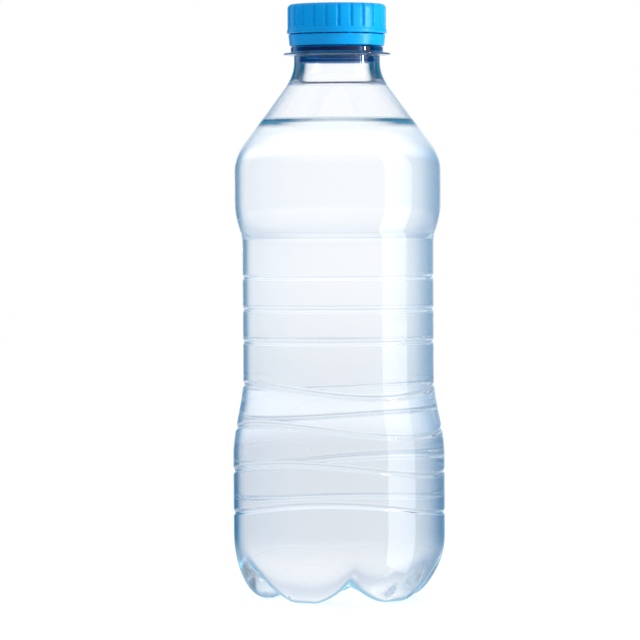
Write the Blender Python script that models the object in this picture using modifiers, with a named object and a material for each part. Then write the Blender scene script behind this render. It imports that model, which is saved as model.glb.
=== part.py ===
"""A clear plastic water bottle, full to the shoulder, with its screw cap on.

Lengths are in metres and +Z is up. The origin is on the bottle's axis, on the
plane that the five feet stand on. The bottle's front faces -Y.
"""
from math import atan2, cos, hypot, pi, radians, sin, sqrt

import bmesh
import bpy

MM = 0.001

# Body, from the feet up
BASE_HEIGHT = 22.3 * MM        # feet, up to the straight wall
HIP_LENGTH = 24.7 * MM
FLARE_LENGTH = 26.0 * MM
WAIST_LENGTH = 42.0 * MM
STEP_LENGTH = 4.7 * MM         # from the waist up to the crease
UNDERCUT_LENGTH = 10.3 * MM    # from the crease up to the bulge
BULGE_LENGTH = 10.3 * MM
CONE_HEIGHT = 35.2 * MM        # from the bulge up to the neck
SHOULDER_CURVE = 8.6 * MM      # height of the bend from bulge to cone
NECK_CURVE = 8.2 * MM          # height of the bend from cone to neck
NECK_LENGTH = 2.2 * MM

HIP_RADIUS = 34.75 * MM
WAIST_RADIUS = 31.35 * MM
CREASE_STEP = 0.4 * MM
SHOULDER_RADIUS = 33.8 * MM
NECK_RADIUS = 14.1 * MM
WALL = 0.4 * MM

# Straight grooves around the waist
GROOVES = 3
GROOVE_PITCH = 10.5 * MM
GROOVE_DROP = 9.7 * MM         # from the waist's top to the first groove
GROOVE_DEPTH = 0.55 * MM
GROOVE_HALF_HEIGHT = 0.9 * MM

# Wavy grooves around the hip: each has two waves, turned on from the one below
RIBS = 4
RIB_PITCH = 12.8 * MM
RIB_START = 8.0 * MM           # from the straight wall's foot to the lowest rib
RIB_DEPTH = 0.7 * MM
RIB_HALF_HEIGHT = 1.0 * MM
WAVE_SWING = 2.15 * MM
WAVES = 2
WAVE_LOW_ANGLE = radians(84)   # where the lowest rib dips, from the front
WAVE_TURN = radians(-19.7)     # from one rib to the next above

# Base: feet with valleys between them
FEET = 5
VALLEY_ANGLE = radians(9)    # the front valley, from the front to the right
FLOOR_HALF_ANGLE = radians(2)
PAD_HALF_ANGLE = radians(9.5)
PAD_RADIUS = 23.0 * MM
PAD_WIDTH = 2.4 * MM
CENTRE_RISE = 4.5 * MM
VALLEY_SHAPE = 3.0           # power of the valley floor's superellipse
FLANK_POWER = 0.8            # below 1 rounds the feet's flanks outwards

# Neck finish, under and inside the cap
BORE_RADIUS = 12.0 * MM
FINISH_RADIUS = 13.3 * MM
FINISH_HEIGHT = 14.2 * MM      # from the support ring's underside to the rim
NECK_WALL = 2.0 * MM
THICK_DROP = 7.0 * MM          # from the support ring down to the thick wall's end
THICK_FADE = 2.2 * MM
RING_RADIUS = 17.55 * MM
RING_TIP = 0.55 * MM
RING_ROOT = 1.1 * MM
COLLAR_RADIUS = 15.2 * MM
COLLAR_HEIGHT = 1.8 * MM
BEAD_RADIUS = 14.4 * MM
BEAD_HEIGHT = 1.2 * MM
BEAD_DROP = 0.5 * MM           # from the tamper band's top to the bead's top

# Closure
BAND_HEIGHT = 3.7 * MM
BAND_TOP_RADIUS = 15.9 * MM
BAND_BOTTOM_RADIUS = 15.5 * MM
LIP_HEIGHT = 0.9 * MM
CAP_RADIUS = 16.15 * MM
CAP_HEM_RADIUS = 16.35 * MM
CAP_HEM_HEIGHT = 1.1 * MM
CAP_HEM_FOOT = 0.37 * MM       # height of the hem's lower bevel
COLLAR_BAND = 1.7 * MM         # the smooth foot of the cap
FLUTE_BOTTOM = 2.0 * MM        # where the flutes begin, over the smooth foot
CAP_WALL = 1.4 * MM
CAP_TOP = 1.3 * MM
CAP_ROUNDING = 1.5 * MM
FLUTES = 24
FLUTE_RADIUS = 0.6 * MM
FLUTE_DEPTH = 0.45 * MM
FLUTE_ANGLE = radians(1.8)     # the first flute, from the front to the right
LINER_THICKNESS = 0.8 * MM
LINER_RADIUS = 14.1 * MM

# Filling
HEADSPACE = 21.3 * MM          # from the support ring down to the water
GAP = 0.3 * MM

# Fineness of the solids
BODY_STEPS = 40
CAP_STEPS = 48
FLANK_ROWS = 6
DOME_ROWS = 3
CORNER_ROWS = 3
FLUTE_SIDES = 8
ROW_MIN = 0.25 * MM
MERGE = 0.01 * MM
SHARP_ANGLE = radians(35)

# Heights that follow from the lengths above
HIP_TOP = BASE_HEIGHT + HIP_LENGTH
WAIST_BOTTOM = HIP_TOP + FLARE_LENGTH
WAIST_TOP = WAIST_BOTTOM + WAIST_LENGTH
CREASE = WAIST_TOP + STEP_LENGTH
BULGE_BOTTOM = CREASE + UNDERCUT_LENGTH
BULGE_TOP = BULGE_BOTTOM + BULGE_LENGTH
NECK_BOTTOM = BULGE_TOP + CONE_HEIGHT
RING_BOTTOM = NECK_BOTTOM + NECK_LENGTH
COLLAR_BOTTOM = RING_BOTTOM + RING_ROOT
COLLAR_TOP = COLLAR_BOTTOM + COLLAR_HEIGHT
RIM = RING_BOTTOM + FINISH_HEIGHT
WATER_LEVEL = RING_BOTTOM - HEADSPACE
BAND_BOTTOM = COLLAR_TOP + GAP
BAND_TOP = BAND_BOTTOM + BAND_HEIGHT
CAP_BOTTOM = BAND_TOP + GAP
LINER_BOTTOM = RIM + GAP
CAP_CEILING = LINER_BOTTOM + LINER_THICKNESS + GAP
CAP_HEIGHT = CAP_CEILING + CAP_TOP - CAP_BOTTOM

TOP_RIB = BASE_HEIGHT + RIB_START + (RIBS - 1) * RIB_PITCH
LOW_GROOVE = WAIST_TOP - GROOVE_DROP - (GROOVES - 1) * GROOVE_PITCH


def clear_scene():
    for item in list(bpy.data.objects):
        bpy.data.objects.remove(item, do_unlink=True)


def make_collection(name):
    collection = bpy.data.collections.new(name)
    bpy.context.scene.collection.children.link(collection)
    return collection


def material(name, colour, roughness, metallic=0.0, alpha=1.0):
    """A Principled material in one colour."""
    made = bpy.data.materials.new(name)
    made.use_nodes = True
    shader = made.node_tree.nodes["Principled BSDF"]
    shader.inputs["Base Color"].default_value = (*colour, 1.0)
    shader.inputs["Roughness"].default_value = roughness
    shader.inputs["Metallic"].default_value = metallic
    shader.inputs["Alpha"].default_value = alpha
    return made


def add_object(name, mesh, collection, finish=None, height=0.0):
    """Puts a mesh in the scene as an object standing on the axis at a height."""
    added = bpy.data.objects.new(name, mesh)
    collection.objects.link(added)
    added.location = (0, 0, height)
    if finish:
        mesh.materials.append(finish)
    return added


def applied_mesh(source, name):
    """The object's mesh with its modifiers applied. The object is removed."""
    bpy.context.view_layer.update()
    seen = source.evaluated_get(bpy.context.evaluated_depsgraph_get())
    mesh = bpy.data.meshes.new_from_object(seen)
    mesh.name = name
    mesh.materials.clear()
    bpy.data.objects.remove(source, do_unlink=True)
    return mesh


def turned_mesh(name, points, steps, closed=False):
    """Turns an outline of (radius, height) points, outer side first, about Z."""
    outline = bpy.data.meshes.new(name)
    edges = [(i, i + 1) for i in range(len(points) - 1)]
    if closed:
        edges.append((len(points) - 1, 0))
    outline.from_pydata([(radius, 0, height) for radius, height in points], edges, [])
    source = bpy.data.objects.new(name, outline)
    bpy.context.scene.collection.objects.link(source)
    screw = source.modifiers.new("turn", "SCREW")
    screw.axis = "Z"
    screw.angle = 2 * pi
    screw.steps = steps
    screw.render_steps = steps
    screw.use_merge_vertices = True
    screw.merge_threshold = MERGE
    return applied_mesh(source, name)


def eased(low, high, position):
    """Rises smoothly from 0 to 1 between two values."""
    share = min(1.0, max(0.0, (position - low) / (high - low)))
    return share * share * (3 - 2 * share)


def body_spans():
    """The outer wall as spans: low and high (height, radius, slope)."""
    crease_radius = WAIST_RADIUS + CREASE_STEP
    step_slope = 2 * CREASE_STEP / STEP_LENGTH
    undercut_slope = 2 * (SHOULDER_RADIUS - crease_radius) / UNDERCUT_LENGTH
    bends = (SHOULDER_CURVE + NECK_CURVE) / 2
    cone_slope = (NECK_RADIUS - SHOULDER_RADIUS) / (CONE_HEIGHT - bends)
    cone_low = (BULGE_TOP + SHOULDER_CURVE, SHOULDER_RADIUS + cone_slope * SHOULDER_CURVE / 2, cone_slope)
    cone_high = (NECK_BOTTOM - NECK_CURVE, NECK_RADIUS - cone_slope * NECK_CURVE / 2, cone_slope)
    return (
        ((BASE_HEIGHT, HIP_RADIUS, 0), (HIP_TOP, HIP_RADIUS, 0)),
        ((HIP_TOP, HIP_RADIUS, 0), (WAIST_BOTTOM, WAIST_RADIUS, 0)),
        ((WAIST_BOTTOM, WAIST_RADIUS, 0), (WAIST_TOP, WAIST_RADIUS, 0)),
        ((WAIST_TOP, WAIST_RADIUS, 0), (CREASE, crease_radius, step_slope)),
        ((CREASE, crease_radius, undercut_slope), (BULGE_BOTTOM, SHOULDER_RADIUS, 0)),
        ((BULGE_BOTTOM, SHOULDER_RADIUS, 0), (BULGE_TOP, SHOULDER_RADIUS, 0)),
        ((BULGE_TOP, SHOULDER_RADIUS, 0), cone_low),
        (cone_low, cone_high),
        (cone_high, (NECK_BOTTOM, NECK_RADIUS, 0)),
        ((NECK_BOTTOM, NECK_RADIUS, 0), (RING_BOTTOM, NECK_RADIUS, 0)),
    )


SPANS = body_spans()
ROWS_IN_SPAN = (1, 2, 1, 2, 3, 1, 3, 1, 3, 1)


def body_radius(height):
    """Radius of the smooth outer wall: a cubic curve through each span's ends."""
    for low, high in SPANS:
        if height <= high[0]:
            break
    length = high[0] - low[0]
    t = min(1.0, max(0.0, (height - low[0]) / length))
    rise = 3 * t * t - 2 * t ** 3
    leave = t * (1 - t) ** 2 * length
    arrive = t * t * (t - 1) * length
    return low[1] + (high[1] - low[1]) * rise + low[2] * leave + high[2] * arrive


def groove_heights():
    """Middle, half height and depth of each groove, before the waves."""
    straight = [LOW_GROOVE + i * GROOVE_PITCH for i in range(GROOVES)]
    wavy = [BASE_HEIGHT + RIB_START + i * RIB_PITCH for i in range(RIBS)]
    found = [(height, GROOVE_HALF_HEIGHT, GROOVE_DEPTH) for height in straight]
    found += [(height, RIB_HALF_HEIGHT, RIB_DEPTH) for height in wavy]
    return found


def groove_depth(height):
    """How far the V grooves press the wall in at a height, before the waves."""
    return sum(
        depth * max(0.0, 1 - abs(height - middle) / half)
        for middle, half, depth in groove_heights()
    )


def wave_drop(height, angle):
    """How far the wavy ribs lower a row: cos(WAVES * (angle - low angle)) times
    the swing, which fades out towards the base and towards the waist's grooves."""
    rib = (height - BASE_HEIGHT - RIB_START) / RIB_PITCH
    low_angle = WAVE_LOW_ANGLE + WAVE_TURN * rib
    fade_in = eased(BASE_HEIGHT, BASE_HEIGHT + RIB_START, height)
    fade_out = 1 - eased(TOP_RIB, LOW_GROOVE - GROOVE_HALF_HEIGHT, height)
    return WAVE_SWING * fade_in * fade_out * cos(WAVES * (angle - low_angle))


def foot_height(radius):
    """Height of the base's outer skin through the middle of a foot: a quarter of an
    ellipse down to the flat pad, then a parabola up to the middle."""
    inner = PAD_RADIUS - PAD_WIDTH / 2
    outer = PAD_RADIUS + PAD_WIDTH / 2
    if radius <= inner:
        return CENTRE_RISE * (1 - (radius / inner) ** 2)
    if radius <= outer:
        return 0.0
    share = min(1.0, (radius - outer) / (HIP_RADIUS - outer))
    return BASE_HEIGHT * (1 - sqrt(1 - share * share))


def valley_height(radius):
    """Height of the base's outer skin along the floor of a valley: a quarter of a
    superellipse, so that the valley starts well below the straight wall."""
    share = min(1.0, radius / HIP_RADIUS)
    drop = (1 - share ** VALLEY_SHAPE) ** (1 / VALLEY_SHAPE)
    return BASE_HEIGHT - (BASE_HEIGHT - CENTRE_RISE) * drop


def foot_share(angle):
    """1 across a foot's pad, 0 across a valley's floor."""
    turn = abs(sin(FEET / 2 * (angle - VALLEY_ANGLE)))
    floor = sin(FEET / 2 * FLOOR_HALF_ANGLE)
    pad = cos(FEET / 2 * PAD_HALF_ANGLE)
    share = min(1.0, max(0.0, (turn - floor) / (pad - floor)))
    return share ** FLANK_POWER


def spaced(heights):
    """The heights in order, without those that crowd the one below."""
    kept = []
    for height in sorted(heights):
        if not kept or height - kept[-1] > ROW_MIN:
            kept.append(height)
    return kept


def skin_outline():
    """Outline of the outer skin, from the rim down to the middle of the base."""
    heights = [BASE_HEIGHT, RIM, RING_BOTTOM + RING_ROOT]
    for (low, high), rows in zip(SPANS, ROWS_IN_SPAN):
        heights += [low[0] + (high[0] - low[0]) * (i + 1) / rows for i in range(rows)]
    for middle, half, _ in groove_heights():
        heights += [middle - half, middle, middle + half]
    ribs = [BASE_HEIGHT + RIB_START + i * RIB_PITCH for i in range(RIBS)]
    heights += [rib + RIB_PITCH / 2 for rib in ribs[:-1]]
    wall = []
    for height in reversed(spaced(heights)):
        if height > RING_BOTTOM:
            wall.append((FINISH_RADIUS, height))
        else:
            wall.append((body_radius(height) - groove_depth(height), height))
    inner = PAD_RADIUS - PAD_WIDTH / 2
    outer = PAD_RADIUS + PAD_WIDTH / 2
    base = []
    for i in range(1, FLANK_ROWS):
        turn = i / FLANK_ROWS * pi / 2
        base.append(outer + (HIP_RADIUS - outer) * cos(turn))
    base += [outer, inner]
    base += [inner * (1 - i / (DOME_ROWS + 1)) for i in range(1, DOME_ROWS + 1)]
    base.append(0.0)
    return wall + [(radius, foot_height(radius)) for radius in base]


def press_skin(mesh):
    """Presses the waves and the valleys between the feet into a turned skin."""
    for vertex in mesh.vertices:
        x, y, z = vertex.co
        radius = hypot(x, y)
        if radius < MERGE:
            continue
        angle = atan2(x, -y)
        if z < BASE_HEIGHT - MERGE:
            lift = valley_height(radius) - foot_height(radius)
            vertex.co.z = z + (1 - foot_share(angle)) * lift
        elif z < RING_BOTTOM:
            height = z - wave_drop(z, angle)
            pressed = radius + body_radius(height) - body_radius(z)
            vertex.co = (x * pressed / radius, y * pressed / radius, height)


def skin_mesh(name):
    mesh = turned_mesh(name, skin_outline(), BODY_STEPS)
    press_skin(mesh)
    return mesh


def wall_at(height):
    """Thickness of the wall: thick in the neck, thin where it was blown out."""
    if height > RING_BOTTOM:
        return FINISH_RADIUS - BORE_RADIUS
    thick = RING_BOTTOM - THICK_DROP
    return WALL + (NECK_WALL - WALL) * eased(thick - THICK_FADE, thick, height)


def ring_outline():
    """Support ring and collar, as one ring let into the neck's wall."""
    inside = (BORE_RADIUS + FINISH_RADIUS) / 2
    tip_bottom = RING_BOTTOM + (RING_ROOT - RING_TIP) / 2
    return [
        (inside, COLLAR_TOP),
        (COLLAR_RADIUS, COLLAR_TOP),
        (COLLAR_RADIUS, COLLAR_BOTTOM),
        (RING_RADIUS, tip_bottom + RING_TIP),
        (RING_RADIUS, tip_bottom),
        (COLLAR_RADIUS, RING_BOTTOM),
        (inside, RING_BOTTOM),
    ]


def bead_outline():
    """The bead that holds the tamper band down."""
    inside = (BORE_RADIUS + FINISH_RADIUS) / 2
    top = BAND_TOP - BEAD_DROP
    return [
        (inside, top),
        (FINISH_RADIUS, top),
        (BEAD_RADIUS, top - BEAD_HEIGHT / 2),
        (BEAD_RADIUS, top - BEAD_HEIGHT),
        (inside, top - BEAD_HEIGHT),
    ]


def boolean(target, cutter, operation):
    made = target.modifiers.new(cutter.name, "BOOLEAN")
    made.operation = operation
    made.object = cutter
    made.solver = "EXACT"


def hide_tool(tool):
    tool.hide_render = True
    tool.display_type = "WIRE"


def make_bottle(parts, tools, finish):
    mesh = skin_mesh("bottle")
    bottle = add_object("bottle", mesh, parts, finish)
    group = bottle.vertex_groups.new(name="wall")
    for vertex in mesh.vertices:
        group.add([vertex.index], wall_at(vertex.co.z) / NECK_WALL, "REPLACE")
    shell = bottle.modifiers.new("wall", "SOLIDIFY")
    shell.thickness = NECK_WALL
    shell.offset = -1
    shell.use_even_offset = True
    shell.vertex_group = group.name
    for name, outline in (("neck_rings", ring_outline()), ("tamper_bead", bead_outline())):
        ring = turned_mesh(name, outline, BODY_STEPS, closed=True)
        tool = add_object(name, ring, tools)
        hide_tool(tool)
        boolean(bottle, tool, "UNION")
    return bottle


def make_water(parts, finish):
    """The filling: the bottle's skin moved in by the wall and a gap, cut level."""
    mesh = skin_mesh("water")
    shape = bmesh.new()
    shape.from_mesh(mesh)
    shape.normal_update()
    inset = WALL + GAP
    moves = [vertex.normal * vertex.calc_shell_factor() * inset for vertex in shape.verts]
    for vertex, move in zip(shape.verts, moves):
        vertex.co -= move
    geometry = shape.verts[:] + shape.edges[:] + shape.faces[:]
    cut = bmesh.ops.bisect_plane(
        shape, geom=geometry, dist=MERGE, plane_co=(0, 0, WATER_LEVEL), plane_no=(0, 0, 1), clear_outer=True
    )
    rim = [part for part in cut["geom_cut"] if isinstance(part, bmesh.types.BMEdge)]
    bmesh.ops.contextual_create(shape, geom=rim)
    bmesh.ops.recalc_face_normals(shape, faces=shape.faces[:])
    shape.to_mesh(mesh)
    shape.free()
    return add_object("water", mesh, parts, finish)


def make_band(parts, finish):
    """The ring left on the neck: its lip hooks under the bead."""
    inside = BEAD_RADIUS + GAP
    outline = [
        (inside, BAND_HEIGHT),
        (BAND_TOP_RADIUS, BAND_HEIGHT),
        (BAND_BOTTOM_RADIUS, 0),
        (FINISH_RADIUS + GAP, 0),
        (FINISH_RADIUS + GAP, LIP_HEIGHT),
        (inside, LIP_HEIGHT),
    ]
    mesh = turned_mesh("tamper_band", outline, CAP_STEPS, closed=True)
    return add_object("tamper_band", mesh, parts, finish, BAND_BOTTOM)


def cap_outline():
    """The cap's shell: outer side from the top's middle to the hem, then inside."""
    outline = [(0, CAP_HEIGHT)]
    for i in range(CORNER_ROWS + 1):
        turn = i / CORNER_ROWS * pi / 2
        radius = CAP_RADIUS - CAP_ROUNDING * (1 - sin(turn))
        outline.append((radius, CAP_HEIGHT - CAP_ROUNDING * (1 - cos(turn))))
    outline += [
        (CAP_RADIUS, COLLAR_BAND),
        (CAP_HEM_RADIUS, CAP_HEM_HEIGHT),
        (CAP_HEM_RADIUS, CAP_HEM_FOOT),
        (CAP_RADIUS, 0),
        (CAP_RADIUS - CAP_WALL, 0),
        (CAP_RADIUS - CAP_WALL, CAP_HEIGHT - CAP_TOP),
        (0, CAP_HEIGHT - CAP_TOP),
    ]
    return outline


def flute_cutters(tools):
    """Thin upright rods around the cap, whose inner edges cut the flutes."""
    shape = bmesh.new()
    ring = CAP_RADIUS + FLUTE_RADIUS - FLUTE_DEPTH
    length = CAP_HEIGHT - FLUTE_BOTTOM + GAP
    for i in range(FLUTES):
        angle = FLUTE_ANGLE + i * 2 * pi / FLUTES
        rod = bmesh.ops.create_cone(
            shape, cap_ends=True, segments=FLUTE_SIDES, radius1=FLUTE_RADIUS, radius2=FLUTE_RADIUS, depth=length
        )
        place = (ring * sin(angle), -ring * cos(angle), FLUTE_BOTTOM + length / 2)
        bmesh.ops.translate(shape, verts=rod["verts"], vec=place)
    mesh = bpy.data.meshes.new("flutes")
    shape.to_mesh(mesh)
    shape.free()
    tool = add_object("flutes", mesh, tools, None, CAP_BOTTOM)
    hide_tool(tool)
    return tool


def make_cap(parts, tools, finish):
    mesh = turned_mesh("cap", cap_outline(), CAP_STEPS)
    cap = add_object("cap", mesh, parts, finish, CAP_BOTTOM)
    boolean(cap, flute_cutters(tools), "DIFFERENCE")
    return cap


def make_liner(parts, finish):
    """The soft disc under the cap's top, which seals on the rim."""
    bpy.ops.mesh.primitive_cylinder_add(
        vertices=CAP_STEPS, radius=LINER_RADIUS, depth=LINER_THICKNESS,
        location=(0, 0, LINER_BOTTOM + LINER_THICKNESS / 2),
    )
    liner = bpy.context.object
    liner.name = "cap_liner"
    liner.data.name = "cap_liner"
    liner.data.materials.append(finish)
    for collection in list(liner.users_collection):
        collection.objects.unlink(liner)
    parts.objects.link(liner)
    return liner


def hang_on_axis(parts, pieces):
    """Parents the closure to an empty on the axis that it turns and lifts on."""
    axis = bpy.data.objects.new("cap_axis", None)
    parts.objects.link(axis)
    axis.location = (0, 0, CAP_BOTTOM)
    for piece in pieces:
        piece.parent = axis
        piece.location.z -= CAP_BOTTOM


def shade(objects):
    for item in objects:
        item.data.shade_smooth()
        item.data.set_sharp_from_angle(angle=SHARP_ANGLE)


def main():
    clear_scene()
    parts = make_collection("water_bottle")
    tools = make_collection("cutters")
    clear = material("clear_pet", (0.86, 0.93, 0.97), 0.05, alpha=0.3)
    liquid = material("water", (0.80, 0.90, 0.96), 0.02, alpha=0.4)
    blue = material("blue_cap", (0.02, 0.33, 0.83), 0.35)
    white = material("white_liner", (0.90, 0.90, 0.88), 0.6)
    bottle = make_bottle(parts, tools, clear)
    water = make_water(parts, liquid)
    band = make_band(parts, blue)
    cap = make_cap(parts, tools, blue)
    liner = make_liner(parts, white)
    hang_on_axis(parts, (cap, liner))
    shade((bottle, water, band, cap, liner))


main()
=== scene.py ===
"""A clear plastic water bottle, full to the shoulder, with a blue screw cap.

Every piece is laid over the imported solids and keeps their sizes. Lengths are in
metres. The origin is on the bottle's axis, in the plane that its feet stand on,
+Z is up and the front faces -Y. An angle round the axis is counted from the
front towards +X, so a point is (radius * sin, -radius * cos, height).
"""
from math import atan, cos, pi, radians, sin

import bpy
import numpy as np
from mathutils import Matrix


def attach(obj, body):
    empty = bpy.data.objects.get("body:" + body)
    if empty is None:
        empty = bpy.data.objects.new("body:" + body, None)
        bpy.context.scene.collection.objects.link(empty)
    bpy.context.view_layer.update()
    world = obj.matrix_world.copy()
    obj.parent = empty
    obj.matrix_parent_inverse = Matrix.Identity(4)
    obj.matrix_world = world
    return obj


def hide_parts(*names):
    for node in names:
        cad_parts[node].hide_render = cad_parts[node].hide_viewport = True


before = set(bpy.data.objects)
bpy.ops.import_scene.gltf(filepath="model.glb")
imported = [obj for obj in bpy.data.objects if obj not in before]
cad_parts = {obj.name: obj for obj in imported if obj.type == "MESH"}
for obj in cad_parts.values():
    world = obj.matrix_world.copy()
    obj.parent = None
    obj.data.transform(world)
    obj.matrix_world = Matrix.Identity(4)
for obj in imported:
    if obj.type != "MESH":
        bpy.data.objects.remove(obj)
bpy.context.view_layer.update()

MM = 0.001
TURN = 2 * pi

# Body, from the feet up
BASE_HEIGHT = 22.3 * MM
HIP_TOP = 47.0 * MM
WAIST_BOTTOM = 73.0 * MM
WAIST_TOP = 115.0 * MM
CREASE = 119.7 * MM
BULGE_BOTTOM = 130.0 * MM
BULGE_TOP = 140.3 * MM
NECK_BOTTOM = 175.5 * MM
RING_BOTTOM = 177.7 * MM
SHOULDER_CURVE = 8.6 * MM
NECK_CURVE = 8.2 * MM
HIP_RADIUS = 34.75 * MM
WAIST_RADIUS = 31.35 * MM
CREASE_STEP = 0.4 * MM
SHOULDER_RADIUS = 33.8 * MM
NECK_RADIUS = 14.1 * MM
WALL = 0.4 * MM

# Straight grooves round the waist: lowest, pitch, depth and half height
GROOVES = 3
GROOVE_LOW = 84.3 * MM
GROOVE_PITCH = 10.5 * MM
GROOVE_DEPTH = 0.42 * MM
GROOVE_HALF = 1.0 * MM

# Wavy grooves round the hip
RIBS = 4
RIB_LOW = 30.3 * MM
RIB_PITCH = 12.8 * MM
RIB_DEPTH = 0.5 * MM
RIB_HALF = 1.15 * MM
WAVE_SWING = 2.15 * MM
WAVES = 2
WAVE_LOW_ANGLE = radians(84)
WAVE_TURN = radians(-19.7)
WAVE_FADE_TOP = 83.4 * MM

# Base: feet with valleys between them
FEET = 5
VALLEY_ANGLE = radians(9)
FLOOR_HALF_ANGLE = radians(2)
PAD_HALF_ANGLE = radians(9.5)
PAD_INNER = 21.8 * MM
PAD_OUTER = 24.2 * MM
CENTRE_RISE = 4.5 * MM
VALLEY_SHAPE = 3.0
FLANK_POWER = 0.8

# Neck finish
BORE_RADIUS = 12.0 * MM
FINISH_RADIUS = 13.3 * MM
RIM = 191.9 * MM
NECK_WALL = 2.0 * MM
THICK_BOTTOM = 169.4 * MM
THICK_FADE = 0.7 * MM
RING_RADIUS = 17.55 * MM
RING_EDGE_HALF = 0.28 * MM
COLLAR_RADIUS = 15.2 * MM
COLLAR_BOTTOM = 178.8 * MM
COLLAR_TOP = 180.6 * MM
BEAD_RADIUS = 14.4 * MM
THREAD_LEAD = 3.0 * MM
THREAD_START = 186.3 * MM
THREAD_TURNS = 1.35
THREAD_HEIGHT = 0.7 * MM
THREAD_HALF = 0.75 * MM
CAP_THREAD = 0.5 * MM

# Closure
BAND_BOTTOM = 180.9 * MM
BAND_HEIGHT = 3.7 * MM
BAND_TOP_RADIUS = 15.9 * MM
BAND_BOTTOM_RADIUS = 15.5 * MM
BAND_INSIDE = 14.7 * MM
LIP_INSIDE = 13.6 * MM
LIP_HEIGHT = 0.9 * MM
BRIDGES = 12
BRIDGE_HEIGHT = 0.24 * MM
BRIDGE_HALF = 0.7 * MM
CAP_BOTTOM = 184.9 * MM
CAP_HEIGHT = 9.7 * MM
CAP_RADIUS = 16.15 * MM
CAP_HEM_RADIUS = 16.35 * MM
HEM_LOW = 0.35 * MM
HEM_HIGH = 1.0 * MM
COLLAR_BAND = 1.7 * MM
CAP_INSIDE = 14.75 * MM
CAP_CEILING = 8.4 * MM
CAP_ROUNDING = 1.5 * MM
DISH_DEPTH = 0.12 * MM
DISH_RIM = (13.5 * MM, 13.0 * MM)
GATE_DEPTH = 0.18 * MM
GATE_RIM = (2.3 * MM, 2.0 * MM)
FLUTES = 24
FLUTE_DEPTH = 0.55 * MM
FLUTE_HALF = 0.75 * MM
FLUTE_ANGLE = radians(1.8)

# The bead that holds the band, as heights on the neck
BEAD_BOTTOM = BAND_BOTTOM + 2.0 * MM
BEAD_TOP = BAND_BOTTOM + 2.6 * MM
BEAD_END = BAND_BOTTOM + 3.2 * MM

# Filling
WATER_LEVEL = 156.4 * MM
WATER_INSET = 0.2 * MM          # into the wall, so that no air shows between
MENISCUS_RISE = 0.9 * MM
MENISCUS_REACH = 1.4 * MM

# The meshes: columns round the axis, rows on a foot's flank, and the longest steps
# up the wall on plain stretches and in the grooves
BODY_STEPS = 176
BAND_STEPS = 192
FLANK_ROWS = 26
PLAIN_STEP = 1.5 * MM
FINE_STEP = 0.25 * MM

# The photograph's view, in its own pixels
PIXEL = 0.328 * MM              # on the bottle
IMAGE_WIDTH = 640
CAMERA_AWAY = 4500
CAMERA_LEFT = 18.3
CAMERA_UP = 382
AIM_DOWN = 104                  # from the horizon to the picture's middle
CAMERA_LEAN = radians(-0.3)
SENSOR_WIDTH = 36.0             # in real millimetres

# Tints of the clear plastic and of the water. Past the clear ones most are painted shade: a darker lower
# body, dark blue edges where a wall is seen edge on (partly the tint of a longer way through it), and dark
# bands at the neck, collar, ring and water line
CLEAR = (0.998, 0.999, 1.0, 1)
LOWER_BODY_SHADE = (0.88, 0.897, 0.917, 1)
WALL_EDGE_TINT_AND_SHADE = (0.05, 0.28, 0.48, 1)
NECK_EDGE_SHADE = (0.0, 0.02, 0.07, 1)
COLLAR_SHADE_BLUE = (0.0, 0.06, 0.22, 1)
UNDER_RING_SHADE = (0.03, 0.14, 0.34, 1)
WATER_LINE_SHADE = (0.0, 0.10, 0.20, 1)
BRIM_EDGE_SHADE = (0.0, 0.06, 0.16, 1)
HIP_EDGE_SHADE = (0.0, 0.20, 0.42, 1)
FOOT_EDGE_SHADE = (0.0, 0.27, 0.52, 1)
WATER_CLEAR = (0.996, 0.999, 1.0, 1)
WATER_EDGE_TINT_AND_SHADE = (0.70, 0.86, 0.95, 1)
SURFACE_RIM_SHADE = (0.0, 0.16, 0.30, 1)
WEDGE_EDGE_SHADE = (0.0, 0.14, 0.26, 1)
THROUGH_TO_LAMPS = (0.97, 0.985, 0.99, 1)
CROSSINGS = 6                   # skins on a way straight through the bottle

# The other finishes
CAP_BLUES = (0.0, 0.41, 0.90, 1), (0.0, 0.45, 0.95, 1)
LINER_WHITES = (0.82, 0.82, 0.79, 1), (0.9, 0.9, 0.88, 1)
FLOOR_WHITE = (0.86, 0.87, 0.88, 1)
WHITE = (1, 1, 1, 1)

# The studio by degrees from straight behind the bottle towards +X: what is seen
# through the bottle, and what lights it and shines in it
WALL_STOPS = [
    (-180, (0.74, 0.82, 0.90)),
    (-125, (0.62, 0.76, 0.88)),
    (-100, (0.04, 0.36, 0.62)),
    (-78, (0.0, 0.22, 0.46)),
    (-60, (0.06, 0.24, 0.43)),
    (-48, (0.26, 0.41, 0.59)),
    (-37, (0.52, 0.64, 0.77)),
    (-29, (0.76, 0.82, 0.87)),
    (-18, (0.92, 0.93, 0.95)),
    (38, (0.93, 0.93, 0.95)),
    (45, (0.76, 0.82, 0.88)),
    (51, (0.36, 0.52, 0.65)),
    (57, (0.14, 0.29, 0.42)),
    (66, (0.01, 0.14, 0.28)),
    (80, (0.0, 0.20, 0.42)),
    (100, (0.04, 0.36, 0.62)),
    (125, (0.62, 0.76, 0.88)),
    (180, (0.74, 0.82, 0.90)),
]
ROOM_STOPS = [
    (-180, (0.14, 0.20, 0.30)),
    (-120, (0.10, 0.20, 0.34)),
    (-95, (0.04, 0.32, 0.56)),
    (-64, (0.03, 0.14, 0.28)),
    (-56, (0.62, 0.68, 0.74)),
    (-42, (0.62, 0.68, 0.74)),
    (-36, (0.05, 0.18, 0.32)),
    (-22, (0.05, 0.18, 0.32)),
    (-10, (0.80, 0.86, 0.92)),
    (10, (0.90, 0.94, 0.98)),
    (24, (0.30, 0.46, 0.60)),
    (50, (0.05, 0.18, 0.32)),
    (80, (0.02, 0.26, 0.48)),
    (115, (0.80, 0.88, 0.96)),
    (140, (0.60, 0.68, 0.78)),
    (180, (0.14, 0.20, 0.30)),
]
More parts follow.
